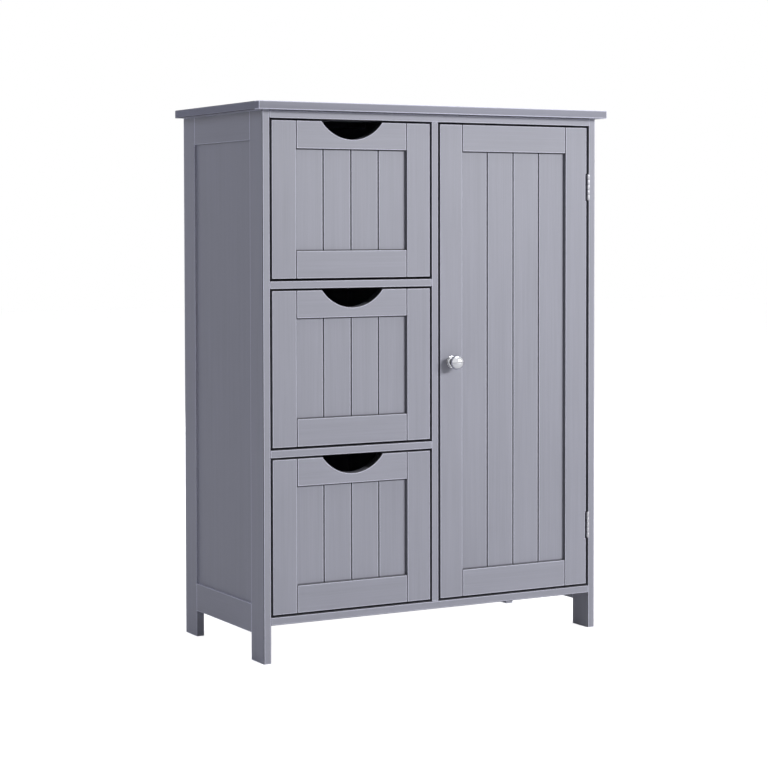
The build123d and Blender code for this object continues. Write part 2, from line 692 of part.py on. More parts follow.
# Knob: a bevelled flange, a neck that widens both ways and a mushroom head, all turned in one
# piece on a threaded stud. The curve of the head is turned in a few straight cuts.
with BuildPart() as door_knob:
    head_start = KNOB_PROJECTION - KNOB_HEAD_DEPTH
    rim = head_start + KNOB_RIM_LIFT
    last_angle = acos(KNOB_CROWN_RADIUS / KNOB_HEAD_RADIUS)
    cuts = [last_angle * count / KNOB_DOME_CUTS for count in range(KNOB_DOME_CUTS + 1)]
    with Locations(KNOB_SEAT):
        add(
            turned(
                KNOB_SIDES,
                [
                    (KNOB_STUD_RADIUS, -KNOB_STUD_LENGTH),
                    (KNOB_STUD_RADIUS, 0),
                    (KNOB_FLANGE_RADIUS, 0),
                    (KNOB_FLANGE_RADIUS, KNOB_FLANGE_THICKNESS - KNOB_FLANGE_BEVEL),
                    (KNOB_FLANGE_RADIUS - KNOB_FLANGE_BEVEL, KNOB_FLANGE_THICKNESS),
                    (KNOB_NECK_RADIUS, (KNOB_FLANGE_THICKNESS + head_start) / 2),
                    (KNOB_HEAD_RADIUS - KNOB_RIM_LIFT, head_start),
                    *(
                        (
                            KNOB_HEAD_RADIUS * cos(angle),
                            rim + (KNOB_PROJECTION - rim) * sin(angle) / sin(last_angle),
                        )
                        for angle in cuts
                    ),
                ],
            )
        )
save(door_knob, "door_knob")


# Hinges. Each knuckle is a tube on the pin; a leaf reaches its own knuckles, and is cut back
# behind the barrel at the knuckles of the other leaf.
KNUCKLE_PITCH = (HINGE_HEIGHT + KNUCKLE_GAP) / KNUCKLES


def hinge_leaf(height, way, knuckles):
    """One leaf. Way is 1 for the leaf on the leg and -1 for the leaf on the door."""
    foot = HINGE_X + way * HINGE_GAP / 2
    sheet = tuple(sorted((foot, foot - way * LEAF_THICKNESS)))
    low = height - HINGE_HEIGHT / 2
    with BuildPart(mode=Mode.PRIVATE) as leaf:
        slab(sheet, (low, low + HINGE_HEIGHT), (KNUCKLE_GAP, LEAF_DEPTH))
        for count in knuckles:
            start = low + count * KNUCKLE_PITCH
            end = start + KNUCKLE_PITCH - KNUCKLE_GAP
            slab(sheet, (start, end), (BARREL_DEPTH, KNUCKLE_GAP))
            with Locations((HINGE_X, FACE_Y + BARREL_DEPTH, 0)):
                add(turned(PIN_SIDES, [(BARREL_RADIUS, start), (BARREL_RADIUS, end)]))
        bore = HINGE_PIN_RADIUS + HINGE_PIN_PLAY
        with Locations((HINGE_X, FACE_Y + BARREL_DEPTH, low)):
            add(turned(PIN_SIDES, [(bore, 0), (bore, HINGE_HEIGHT)]), mode=Mode.SUBTRACT)
    return leaf.part


with BuildPart() as frame_hinge_leaves:
    for height in HINGE_HEIGHTS:
        add(hinge_leaf(height, 1, range(0, KNUCKLES, 2)))
    drill(FRAME_LEAF_SCREWS, LEAF_SCREW_LENGTH)
save(frame_hinge_leaves, "frame_hinge_leaves")

with BuildPart() as door_hinge_leaves:
    for height in HINGE_HEIGHTS:
        add(hinge_leaf(height, -1, range(1, KNUCKLES, 2)))
    drill(DOOR_LEAF_SCREWS, LEAF_SCREW_LENGTH)
save(door_hinge_leaves, "door_hinge_leaves")

with BuildPart() as hinge_pins:
    for height in HINGE_HEIGHTS:
        with Locations((HINGE_X, FACE_Y + BARREL_DEPTH, height - HINGE_HEIGHT / 2)):
            add(
                turned(
                    PIN_SIDES,
                    [
                        (HINGE_PIN_RADIUS, -HINGE_PIN_HEAD),
                        (BARREL_RADIUS, 0),
                        (HINGE_PIN_RADIUS, 0),
                        (HINGE_PIN_RADIUS, HINGE_HEIGHT),
                        (BARREL_RADIUS, HINGE_HEIGHT),
                        (HINGE_PIN_RADIUS, HINGE_HEIGHT + HINGE_PIN_HEAD),
                    ],
                )
            )
save(hinge_pins, "hinge_pins")

# Magnetic catch under the top rail, and the plate on the door that it holds
with BuildPart() as door_catch:
    catch_across = (CATCH_X - CATCH_WIDTH / 2, CATCH_X + CATCH_WIDTH / 2)
    ears_across = (catch_across[0] - CATCH_EAR_WIDTH, catch_across[1] + CATCH_EAR_WIDTH)
    catch_depths = (CATCH_FRONT + POLE_PROJECTION, CATCH_FRONT + CATCH_DEPTH)
    slab(catch_across, (INNER_CEILING - CATCH_HEIGHT, INNER_CEILING), catch_depths)
    slab(ears_across, (INNER_CEILING - CATCH_EAR_THICKNESS, INNER_CEILING), catch_depths)
    for way in (-1, 1):
        centre = PLATE_Z + way * POLE_HEIGHT
        slab(
            catch_across,
            (centre - POLE_HEIGHT / 2, centre + POLE_HEIGHT / 2),
            (CATCH_FRONT, CATCH_FRONT + POLE_PROJECTION),
        )
    drill(CATCH_SCREWS, LEAF_SCREW_LENGTH)
save(door_catch, "door_catch")

with BuildPart() as catch_plate:
    slab(
        (CATCH_X - PLATE_WIDTH / 2, CATCH_X + PLATE_WIDTH / 2),
        (PLATE_Z - PLATE_HEIGHT / 2, PLATE_Z + PLATE_HEIGHT / 2),
        (FRONT_THICKNESS, FRONT_THICKNESS + PLATE_THICKNESS),
    )
    drill(PLATE_SCREWS, LEAF_SCREW_LENGTH)
save(catch_plate, "catch_plate")

# Screws, in one group for the body and one for the door
with BuildPart() as frame_screws:
    with Locations(*FRAME_LEAF_SCREWS, *CATCH_SCREWS):
        add(screw(LEAF_SCREW_LENGTH))
    with Locations(*RUNNER_SCREWS["left"], *RUNNER_SCREWS["right"]):
        add(screw(RUNNER_SCREW_LENGTH))
save(frame_screws, "frame_screws")

with BuildPart() as door_screws:
    with Locations(*DOOR_LEAF_SCREWS, *PLATE_SCREWS):
        add(screw(LEAF_SCREW_LENGTH))
save(door_screws, "door_screws")
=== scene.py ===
from math import cos, pi, radians, sin

import bmesh
import bpy
from mathutils import Matrix, Vector


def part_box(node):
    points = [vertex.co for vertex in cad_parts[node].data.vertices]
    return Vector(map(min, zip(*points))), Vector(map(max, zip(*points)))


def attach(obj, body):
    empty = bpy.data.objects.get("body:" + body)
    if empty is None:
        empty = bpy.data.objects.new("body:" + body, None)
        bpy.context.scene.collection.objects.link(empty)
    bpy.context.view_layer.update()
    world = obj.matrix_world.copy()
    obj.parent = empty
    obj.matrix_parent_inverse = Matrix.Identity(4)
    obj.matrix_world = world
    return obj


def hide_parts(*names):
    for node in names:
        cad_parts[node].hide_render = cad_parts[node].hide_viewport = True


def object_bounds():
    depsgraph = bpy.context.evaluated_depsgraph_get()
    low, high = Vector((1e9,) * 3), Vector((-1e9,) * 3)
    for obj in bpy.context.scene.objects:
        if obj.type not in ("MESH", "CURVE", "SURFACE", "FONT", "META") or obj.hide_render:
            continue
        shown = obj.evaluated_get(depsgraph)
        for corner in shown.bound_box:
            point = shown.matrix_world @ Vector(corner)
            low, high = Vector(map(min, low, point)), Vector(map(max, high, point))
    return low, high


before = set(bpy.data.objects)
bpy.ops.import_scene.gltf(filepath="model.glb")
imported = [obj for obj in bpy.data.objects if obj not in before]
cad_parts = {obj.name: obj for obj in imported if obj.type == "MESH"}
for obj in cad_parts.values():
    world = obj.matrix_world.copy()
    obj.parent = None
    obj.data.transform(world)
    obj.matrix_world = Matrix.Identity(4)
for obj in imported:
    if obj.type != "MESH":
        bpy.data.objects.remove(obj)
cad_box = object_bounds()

# Top: one 12 mm board with every edge rounded over. It is sprayed in satin grey over a brushed
# ground, as everything in view is, so the paint is made here. The grain of each board still reads
# through the coat as fine streaks along it.
PAINT = (0.372, 0.376, 0.446)
PAINT_SHEEN = (0.38, 0.56)
# shares of painted light in the paint's colour: painted highlight at the start of a bevel, and
# painted shade deep in it, along a panel's border and on the faces in the front's gaps
EDGE_HIGHLIGHT, GROOVE_SHADE, BORDER_SHADE, GAP_SHADE = 1.9, 0.04, 0.30, 0.5
BOARD_STEP, PLANK_SPREAD = (0.137, 0.091, 0.173), 3.0
arris = 0.001
face_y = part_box("door_knob_stile")[0].y
front_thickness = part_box("door_knob_stile")[1].y - face_y
body_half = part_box("right_front_leg")[1].x
bottom_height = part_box("bottom_board")[0].z
top_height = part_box("top_board")[0].z


def new_finish(name):
    """A new material, with its node tree and its shader."""
    finish = bpy.data.materials.new(name)
    finish.use_nodes = True
    return finish, finish.node_tree, finish.node_tree.nodes["Principled BSDF"]


def figured(tree, operation, *values):
    """One step of arithmetic on numbers and sockets."""
    step = tree.nodes.new("ShaderNodeMath")
    step.operation = operation
    for socket, value in zip(step.inputs, values):
        if isinstance(value, (int, float)):
            socket.default_value = value
        else:
            tree.links.new(value, socket)
    return step.outputs[0]


def multiplied(tree, first, *others):
    """The product of several numbers and sockets."""
    for other in others:
        first = figured(tree, "MULTIPLY", first, other)
    return first


def vector_step(tree, operation, first, second=None):
    """One step of arithmetic on a vector, where second may be a number, a vector or a socket."""
    step = tree.nodes.new("ShaderNodeVectorMath")
    step.operation = operation
    tree.links.new(first, step.inputs[0])
    socket = step.inputs["Scale"] if operation == "SCALE" else step.inputs[1]
    if isinstance(second, (int, float, tuple)):
        socket.default_value = second
    elif second is not None:
        tree.links.new(second, socket)
    return step.outputs["Value" if operation == "DOT_PRODUCT" else "Vector"]


def components(tree, vector):
    """The X, Y and Z of a vector."""
    apart = tree.nodes.new("ShaderNodeSeparateXYZ")
    tree.links.new(vector, apart.inputs[0])
    return apart.outputs


def ranged(tree, value, to_low, to_high, from_low=0.0, from_high=1.0):
    """A value carried from one range to another, and held at the ends."""
    span = tree.nodes.new("ShaderNodeMapRange")
    for end, number in (
        ("From Min", from_low),
        ("From Max", from_high),
        ("To Min", to_low),
        ("To Max", to_high),
    ):
        span.inputs[end].default_value = number
    tree.links.new(value, span.inputs["Value"])
    return span.outputs["Result"]


def mixed(tree, first, second, share):
    """Two values blended, where share is a number or a socket."""
    blend = tree.nodes.new("ShaderNodeMix")
    for socket, value in (("Factor", share), ("A", first), ("B", second)):
        if isinstance(value, (int, float)):
            blend.inputs[socket].default_value = value
        else:
            tree.links.new(value, blend.inputs[socket])
    return blend.outputs["Result"]


def noise_at(tree, place, scale, detail=2.0, roughness=0.5):
    """Noise whose scale is one number, or three for a grain that runs along an axis."""
    noise = tree.nodes.new("ShaderNodeTexNoise")
    if isinstance(scale, tuple):
        stretch = tree.nodes.new("ShaderNodeMapping")
        stretch.inputs["Scale"].default_value = scale
        tree.links.new(place, stretch.inputs["Vector"])
        place, scale = stretch.outputs["Vector"], 1.0
    noise.inputs["Scale"].default_value = scale
    noise.inputs["Detail"].default_value = detail
    noise.inputs["Roughness"].default_value = roughness
    tree.links.new(place, noise.inputs["Vector"])
    return noise.outputs["Fac"]


def two_tone(tree, value, dark, light, start=0.0, end=1.0):
    """Two colours blended by a value: dark up to start, and light from end."""
    ramp = tree.nodes.new("ShaderNodeValToRGB")
    for stop, place, colour in zip(ramp.color_ramp.elements, (start, end), (dark, light)):
        stop.position = place
        stop.color = (*colour, 1)
    tree.links.new(value, ramp.inputs["Fac"])
    return ramp.outputs["Color"]


def shaded(colour, share):
    """A colour made darker or lighter by one share."""
    return tuple(channel * share for channel in colour)


def give_relief(tree, shader, height, strength, distance):
    """Fine relief from a height pattern."""
    relief = tree.nodes.new("ShaderNodeBump")
    relief.inputs["Strength"].default_value = strength
    relief.inputs["Distance"].default_value = distance
    tree.links.new(height, relief.inputs["Height"])
    tree.links.new(relief.outputs["Normal"], shader.inputs["Normal"])


def edge_highlight(tree, geometry):
    """The painted highlight along every sharp edge: how much paler, from 1 on a face to 2."""
    softened = tree.nodes.new("ShaderNodeBevel")
    softened.samples = 6
    softened.inputs["Radius"].default_value = 0.0020
    soft, plain = softened.outputs["Normal"], geometry.outputs["Normal"]
    turned_by = vector_step(tree, "DOT_PRODUCT", soft, plain)
    return ranged(tree, turned_by, 1.0, 2.0, 0.9995, 0.97)


def gap_shade_mask(tree, at, across_front):
    """Painted shade falls where this is 1: faces that meet or nearly meet across the front's joints
    and gaps, else 0.
    """
    depth, height = at["Y"], at["Z"]
    return multiplied(
        tree,
        figured(tree, "LESS_THAN", across_front, 0.3),
        figured(tree, "GREATER_THAN", depth, face_y + arris),
        figured(tree, "LESS_THAN", depth, face_y + front_thickness + 0.0005),
        figured(tree, "LESS_THAN", figured(tree, "ABSOLUTE", at["X"]), body_half - 0.001),
        figured(tree, "GREATER_THAN", height, bottom_height + 0.001),
        figured(tree, "LESS_THAN", height, top_height - 0.0005),
    )


def border_shade(tree, at, low, high):
    """How dark the painted shade lies along the border of an opening, from 1 inside it to 0.3 at
    its edge.
    """
    shade_start, shade_full = -0.0016, -0.0004
    border = None
    for axis, corner in (("X", 0), ("Z", 2)):
        middle, half = (low[corner] + high[corner]) / 2, (high[corner] - low[corner]) / 2
        beyond = figured(tree, "ABSOLUTE", figured(tree, "SUBTRACT", at[axis], middle))
        beyond = figured(tree, "SUBTRACT", beyond, half)
        border = beyond if border is None else figured(tree, "MAXIMUM", border, beyond)
    return ranged(tree, border, 1.0, BORDER_SHADE, shade_start, shade_full)


def painted_board(
    name,
    grain,
    tone=1.0,
    plank_shift=False,
    bevel_face=face_y,
    bevel=arris,
    panel_in=None,
    sheen=PAINT_SHEEN,
):
    """Satin grey paint over wood whose grain runs along one axis, X, Y or Z.

    Bevelled edges start at the depth bevel_face: a highlight is painted paler there, and painted
    shade lies dark deeper in them, where two of them meet. Painted shade also lies along the border
    of a panel let into its frame, which is given as the lowest and highest corner of the opening.
    The colour is also painted paler along every sharp edge as highlight, and darker as painted
    shade on the faces in the front's gaps.
    """
    paint, tree, coat = new_finish(name)
    coat.inputs["IOR"].default_value = 1.48
    place = tree.nodes.new("ShaderNodeTexCoord").outputs["Object"]
    number = len(bpy.data.materials)
    start = vector_step(tree, "ADD", place, tuple(step * number for step in BOARD_STEP))
    if plank_shift:
        plank = tree.nodes.new("ShaderNodeAttribute")
        plank.attribute_name = "plank"
        spread = vector_step(tree, "SCALE", plank.outputs["Vector"], PLANK_SPREAD)
        start = vector_step(tree, "ADD", start, spread)

    def streaks(across, along, detail):
        """Noise drawn out along the grain, by its scales across and along it."""
        scales = tuple(along if axis == grain else across for axis in "XYZ")
        return noise_at(tree, start, scales, detail, 0.6)

    brushed = streaks(620.0, 9.0, 3.0)
    bands = streaks(90.0, 2.5, 2.0)
    clouds = streaks(7.0, 4.0, 2.0)
    pattern = mixed(tree, mixed(tree, brushed, bands, 0.40), clouds, 0.35)
    dark, light = shaded(PAINT, tone * 0.93), shaded(PAINT, tone * 1.07)
    colour = two_tone(tree, pattern, dark, light, 0.36, 0.64)

    geometry = tree.nodes.new("ShaderNodeNewGeometry")
    facing = tree.nodes.new("ShaderNodeVectorTransform")
    facing.vector_type, facing.convert_from, facing.convert_to = "NORMAL", "WORLD", "OBJECT"
    tree.links.new(geometry.outputs["True Normal"], facing.inputs[0])
    faces = components(tree, vector_step(tree, "ABSOLUTE", facing.outputs[0]))
    largest = figured(tree, "MAXIMUM", figured(tree, "MAXIMUM", faces["X"], faces["Y"]), faces["Z"])
    at = components(tree, place)
    # the colour is painted paler as highlight at the start of each bevel and along sharp edges, and
    # darker as painted shade deeper in each bevel, in the front's gaps and along a panel's border
    sunk = (bevel_face + 0.10 * bevel, bevel_face + 0.28 * bevel)
    bevel_light_and_shade = ranged(tree, at["Y"], EDGE_HIGHLIGHT, GROOVE_SHADE, *sunk)
    # painted shade: the colour is halved on the faces in the front's gaps
    darkened = multiplied(tree, gap_shade_mask(tree, at, faces["Y"]), GAP_SHADE)
    painted_light = multiplied(
        tree,
        mixed(tree, 1.0, bevel_light_and_shade, figured(tree, "LESS_THAN", largest, 0.9)),
        edge_highlight(tree, geometry),
        figured(tree, "SUBTRACT", 1.0, darkened),
    )
    # painted shade along the border of the panel's opening
    if panel_in:
        painted_light = multiplied(tree, painted_light, border_shade(tree, at, *panel_in))
    tree.links.new(vector_step(tree, "SCALE", colour, painted_light), coat.inputs["Base Color"])
    tree.links.new(ranged(tree, pattern, *sheen), coat.inputs["Roughness"])
    give_relief(tree, coat, mixed(tree, brushed, bands, 0.3), 0.35, 0.00012)
    return paint


def finish_node(node, material):
    """Give a CAD node its finish and leave its shape as it is."""
    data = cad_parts[node].data
    data.materials.clear()
    data.materials.append(material)


def piece_from(mesh, name, body, replaced, material):
    """Set a finished mesh in the scene as a piece that rides on a body and stands for CAD nodes."""
    mesh.materials.clear()
    mesh.materials.append(material)
    piece = bpy.data.objects.new(name, mesh)
    bpy.context.scene.collection.objects.link(piece)
    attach(piece, body)
    if replaced:
        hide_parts(*replaced)


def mesh_of(shape, name, sharp_from=None):
    """The mesh of a bmesh, smooth but for the edges that turn by more than an angle."""
    mesh = bpy.data.meshes.new(name)
    shape.to_mesh(mesh)
    shape.free()
    if sharp_from:
        mesh.shade_smooth()
        mesh.set_sharp_from_angle(angle=radians(sharp_from))
    return mesh


def rounded_block(low, high, radius, steps=3):
    """A closed block between two corners, with every edge rounded."""
    shape = bmesh.new()
    bmesh.ops.create_cube(shape, size=1.0)
    size = Vector(high) - Vector(low)
    centre = (Vector(high) + Vector(low)) / 2
    for vertex in shape.verts:
        vertex.co = Vector(a * b for a, b in zip(vertex.co, size)) + centre
    bmesh.ops.bevel(
        shape, geom=shape.edges[:], offset=radius, segments=steps, profile=0.5, affect="EDGES"
    )
    bmesh.ops.recalc_face_normals(shape, faces=shape.faces[:])
    return mesh_of(shape, "block", 35)


low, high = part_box("top_board")
top_mesh = rounded_block(low, high, 0.0012, steps=4)
# wiping has worn most of the gloss off the top
top_paint = painted_board("top paint", "X", 1.02, sheen=(0.76, 0.90))
top_paint.node_tree.nodes["Principled BSDF"].inputs["Specular IOR Level"].default_value = 0.10
piece_from(top_mesh, "top", "cabinet", ["top_board"], top_paint)

# Side frames: 12 mm legs and rails, tongued and glued round a thin panel that sits 3 mm back. The
# legs and panels have upright grain and the rails run front to back.
for side in ("left", "right"):
    for board, title, grain, tone in (
        ("front_leg", "front leg", "Z", 1.0),
        ("back_leg", "back leg", "Z", 1.0),
        ("side_top_rail", "upper rail", "Y", 0.97),
        ("side_bottom_rail", "lower rail", "Y", 1.0),
        ("side_panel", "panel", "Z", 0.96),
    ):
        finish_node(f"{side}_{board}", painted_board(f"{side} {title} paint", grain, tone))

# Boards and rails of the body: 12 mm boards that show their front edges, with the divider standing
# between the bottom board and the top rail.
for node, grain in (
    ("bottom_board", "X"),
    ("divider", "Z"),
    ("top_front_rail", "X"),
    ("top_back_rail", "X"),
    ("drawer_rails", "X"),
    ("shelf", "X"),
):
    finish_node(node, painted_board(node.replace("_", " ") + " paint", grain))


# Back panel: 3 mm hardboard slid into grooves in the back legs. Its smooth face is towards the
# drawers, and both faces have a thin grey coat over the pressed fibres.
def coated_fibreboard(name, colour, fleck):
    """Thin matt coat over pressed fibreboard, with small darker flecks."""
    board, tree, coat = new_finish(name)
    place = tree.nodes.new("ShaderNodeTexCoord").outputs["Object"]
    fibres, clouds = noise_at(tree, place, 420.0, 4.0), noise_at(tree, place, 9.0)
    dark = shaded(colour, 1 - fleck)
    tint = two_tone(tree, mixed(tree, fibres, clouds, 0.35), dark, colour, 0.35, 0.62)
    tree.links.new(tint, coat.inputs["Base Color"])
    tree.links.new(ranged(tree, fibres, 0.62, 0.82), coat.inputs["Roughness"])
    give_relief(tree, coat, fibres, 0.25, 0.0001)
    return board


thin_board = coated_fibreboard("thin board coat", (0.335, 0.338, 0.385), 0.10)
finish_node("back_panel", thin_board)

# Drawer boxes: 12 mm boards wrapped in a plain matt grey film, grooved outside for the runner
# strips and inside for the thin bottom.
box_film = coated_fibreboard("drawer box film", (0.350, 0.353, 0.400), 0.05)
for word in ("bottom", "middle", "top"):
    for board in ("left_side", "right_side", "back"):
        finish_node(f"{word}_drawer_{board}", box_film)
    finish_node(f"{word}_drawer_bottom", thin_board)


# Runner strips: bare planed beech, screwed to the legs and the divider. The drawers hang on them
# by the grooves in their sides.
def bare_beech():
    """Planed beech with fine grain and short darker flecks along the strip."""
    wood, tree, surface = new_finish("bare beech")
    place = tree.nodes.new("ShaderNodeTexCoord").outputs["Object"]
    grain = noise_at(tree, place, (260.0, 7.0, 260.0), 4.0)
    flecks = noise_at(tree, place, (1400.0, 160.0, 1400.0), 4.0)
    both = mixed(tree, grain, flecks, 0.4)
    tint = two_tone(tree, both, (0.42, 0.27, 0.15), (0.66, 0.48, 0.31), 0.34, 0.66)
    tree.links.new(tint, surface.inputs["Base Color"])
    tree.links.new(ranged(tree, both, 0.5, 0.7), surface.inputs["Roughness"])
    give_relief(tree, surface, both, 0.3, 0.0001)
    return wood


finish_node("drawer_runners", bare_beech())

# Framed fronts: each drawer front and the door is two uprights and two rails, tongued together
# flush, with eased edges that leave a fine V at every joint. The drawers' top rails have a curved
# cut-out for the fingers.
for front in ("bottom_drawer", "middle_drawer", "top_drawer", "door"):
    stiles = ("hinge_stile", "knob_stile") if front == "door" else ("left_stile", "right_stile")
    for board in (*stiles, "top_rail", "bottom_rail"):
        grain, tone = ("Z", 1.0) if board in stiles else ("X", 1.01)
        title = f"{front} {board} paint".replace("_", " ")
        finish_node(f"{front}_{board}", painted_board(title, grain, tone))


# Grooved panels: one board for each front, planed flat and run with V-grooves that divide it into
# four planks. The board is a closed block whose face dips along each groove line, by rule.
def maker_tree(name, sockets):
    """A Geometry Nodes tree with named inputs, each given its kind and first value."""
    tree = bpy.data.node_groups.new(name, "GeometryNodeTree")
    tree.is_modifier = True
    tree.interface.new_socket("Geometry", in_out="INPUT", socket_type="NodeSocketGeometry")
    for title, kind, value in sockets:
        socket = tree.interface.new_socket(title, in_out="INPUT", socket_type="NodeSocket" + kind)
        if value is not None:
            socket.default_value = value
    tree.interface.new_socket("Geometry", in_out="OUTPUT", socket_type="NodeSocketGeometry")
    return tree


def end_tree(tree, shape, finish):
    """Make the tree's copies real, give them their finish and pass them out."""
    whole = tree.nodes.new("GeometryNodeRealizeInstances")
    tree.links.new(shape, whole.inputs["Geometry"])
    coat = tree.nodes.new("GeometryNodeSetMaterial")
    tree.links.new(whole.outputs["Geometry"], coat.inputs["Geometry"])
    tree.links.new(finish, coat.inputs["Material"])
    leave = tree.nodes.new("NodeGroupOutput")
    tree.links.new(coat.outputs["Geometry"], leave.inputs["Geometry"])


def made_by(tree, start, values):
    """The plain mesh that a tree makes from a starting mesh and its named inputs."""
    holder = bpy.data.objects.new(start.name, start)
    bpy.context.scene.collection.objects.link(holder)
    maker = holder.modifiers.new(tree.name, "NODES")
    maker.node_group = tree
    for item in tree.interface.items_tree:
        if item.in_out == "INPUT" and item.name in values:
            maker[item.identifier] = values[item.name]
    ready = holder.evaluated_get(bpy.context.evaluated_depsgraph_get())
    mesh = bpy.data.meshes.new_from_object(ready)
    bpy.data.objects.remove(holder)
    return mesh


def grooved_panel_tree():
    """A board with V-grooves at even steps across its face."""
    tree = maker_tree(
        "grooved panel",
        (
            ("Board width", "Float", 0.2),
            ("Board thickness", "Float", 0.006),
            ("Board height", "Float", 0.6),
            ("Columns", "Int", 760),
            ("Plank width", "Float", 0.045),
            ("Groove width", "Float", 0.0032),
            ("Groove rounding", "Float", 0.0005),
            ("Grooves", "Int", 3),
            ("Middle of board", "Vector", (0, 0, 0)),
            ("Seed", "Int", 1),
            ("Paint", "Material", None),
        ),
    )
    nodes, links = tree.nodes, tree.links
    given = nodes.new("NodeGroupInput").outputs
    plank_width = given["Plank width"]
    size = nodes.new("ShaderNodeCombineXYZ")
    for axis, side in (("X", "width"), ("Y", "thickness"), ("Z", "height")):
        links.new(given[f"Board {side}"], size.inputs[axis])
    block = nodes.new("GeometryNodeMeshCube")
    links.new(size.outputs[0], block.inputs["Size"])
    links.new(given["Columns"], block.inputs["Vertices X"])
    at = components(tree, nodes.new("GeometryNodeInputPosition").outputs[0])
    # distance to the nearest groove line, counted only inside the outer planks
    half_plank = multiplied(tree, plank_width, 0.5)
    half_steps = multiplied(tree, figured(tree, "SUBTRACT", given["Grooves"], 1), 0.5)
    first_line = multiplied(tree, plank_width, half_steps)
    from_first = figured(tree, "ADD", at["X"], first_line)
    low_end = multiplied(tree, half_plank, -1.0)
    wrapped = figured(tree, "WRAP", from_first, half_plank, low_end)
    blunt = figured(tree, "POWER", multiplied(tree, given["Groove rounding"], 0.5), 2.0)
    squares = figured(tree, "ADD", figured(tree, "POWER", wrapped, 2.0), blunt)
    near = figured(tree, "SQRT", squares)
    below_face = figured(tree, "SUBTRACT", multiplied(tree, given["Groove width"], 0.5), near)
    sunk = figured(tree, "SMOOTH_MAX", below_face, 0.0, given["Groove rounding"])
    outer_edge = figured(tree, "ADD", first_line, half_plank)
    inside = figured(tree, "LESS_THAN", figured(tree, "ABSOLUTE", at["X"]), outer_edge)
    front = figured(tree, "LESS_THAN", at["Y"], 0.0)
    dip = nodes.new("ShaderNodeCombineXYZ")
    links.new(multiplied(tree, sunk, inside, front), dip.inputs["Y"])
    carve = nodes.new("GeometryNodeSetPosition")
    links.new(block.outputs["Mesh"], carve.inputs["Geometry"])
    links.new(dip.outputs[0], carve.inputs["Offset"])
    # each plank gets a number of its own, which shifts its grain
    from_edge = figured(tree, "DIVIDE", figured(tree, "ADD", from_first, plank_width), plank_width)
    lot = nodes.new("FunctionNodeRandomValue")
    lot.data_type = "FLOAT_VECTOR"
    links.new(figured(tree, "FLOOR", from_edge), lot.inputs["ID"])
    links.new(given["Seed"], lot.inputs["Seed"])
    note = nodes.new("GeometryNodeStoreNamedAttribute")
    note.data_type, note.domain = "FLOAT_VECTOR", "POINT"
    note.inputs["Name"].default_value = "plank"
    links.new(carve.outputs["Geometry"], note.inputs["Geometry"])
    links.new(lot.outputs["Value"], note.inputs["Value"])
    move = nodes.new("GeometryNodeTransform")
    links.new(note.outputs["Geometry"], move.inputs["Geometry"])
    links.new(given["Middle of board"], move.inputs["Translation"])
    end_tree(tree, move.outputs["Geometry"], given["Paint"])
    return tree


panel_tree = grooved_panel_tree()
rail_tongue, groove_depth, first_seed = 0.006, 0.0016, 3
for number, front in enumerate(("bottom_drawer", "middle_drawer", "top_drawer", "door")):
    node = "door_panel" if front == "door" else f"{front}_front_panel"
    low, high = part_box(node)
    rail_low, rail_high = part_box(f"{front}_top_rail")
    opening_low = (rail_low.x + rail_tongue, low.y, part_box(f"{front}_bottom_rail")[1].z)
    opening_high = (rail_high.x - rail_tongue, low.y, rail_low.z)
    paint = painted_board(
        front.replace("_", " ") + " panel paint",
        "Z",
        plank_shift=True,
        bevel_face=low.y,
        bevel=groove_depth,
        panel_in=(opening_low, opening_high),
    )
    mesh = made_by(
        panel_tree,
        bpy.data.meshes.new(f"{front}_planks"),
        {
            "Board width": high.x - low.x,
            "Board thickness": high.y - low.y,
            "Board height": high.z - low.z,
            "Plank width": (opening_high[0] - opening_low[0]) / 4,
            "Middle of board": tuple((low + high) / 2),
            "Seed": number + first_seed,
            "Paint": paint,
        },
    )
    mesh.shade_smooth()
    mesh.set_sharp_from_angle(angle=radians(60))
    piece_from(mesh, f"{front}_grooved_panel", front, [node], paint)


# Knob: turned metal with bright plate. A stepped flange sits on the door, and a waist carries the
# mushroom head. Its colour is painted darker at the flange's foot, in the waist and under the rim
# of the head, as painted shade and dark reflection.
def plated(name, colour, roughness, spread):
    """Bright or satin plate over turned metal, with faint wiping marks in its polish."""
    plate, tree, metal = new_finish(name)
    metal.inputs["Metallic"].default_value = 1.0
    place = tree.nodes.new("ShaderNodeTexCoord").outputs["Object"]
    marks = noise_at(tree, place, 350.0, 3.0)
    tree.links.new(two_tone(tree, marks, shaded(colour, 0.94), colour), metal.inputs["Base Color"])
    polish = ranged(tree, marks, roughness - spread, roughness + spread)
    tree.links.new(polish, metal.inputs["Roughness"])
    return plate


def lathe(profile, turns, name, middle=(0, 0, 0), turn=Matrix.Identity(4)):
    """A turned mesh: a closed profile of (radius, height) swept about Z, then set on its axis."""
    shape = bmesh.new()
    rings = []
    for radius, height in profile:
        angles = [2 * pi * k / turns for k in range(turns if radius > 1e-7 else 1)]
        rings.append([shape.verts.new((radius * cos(a), radius * sin(a), height)) for a in angles])
    for ring, following in zip(rings, rings[1:]):
        for k in range(turns):
            corners = [ring[k % len(ring)], ring[(k + 1) % len(ring)]]
            corners += [following[(k + 1) % len(following)], following[k % len(following)]]
            unique = list(dict.fromkeys(corners))
            if len(unique) > 2:
                shape.faces.new(unique)
    bmesh.ops.recalc_face_normals(shape, faces=shape.faces[:])
    shape.transform(Matrix.Translation(middle) @ turn)
    return mesh_of(shape, name, 40)


def curve_points(centre, width, height, start, end, steps):
    """Points on an ellipse between two angles in degrees."""
    angles = [radians(start + (end - start) * k / steps) for k in range(steps + 1)]
    return [(centre[0] + width * cos(a), centre[1] + height * sin(a)) for a in angles]


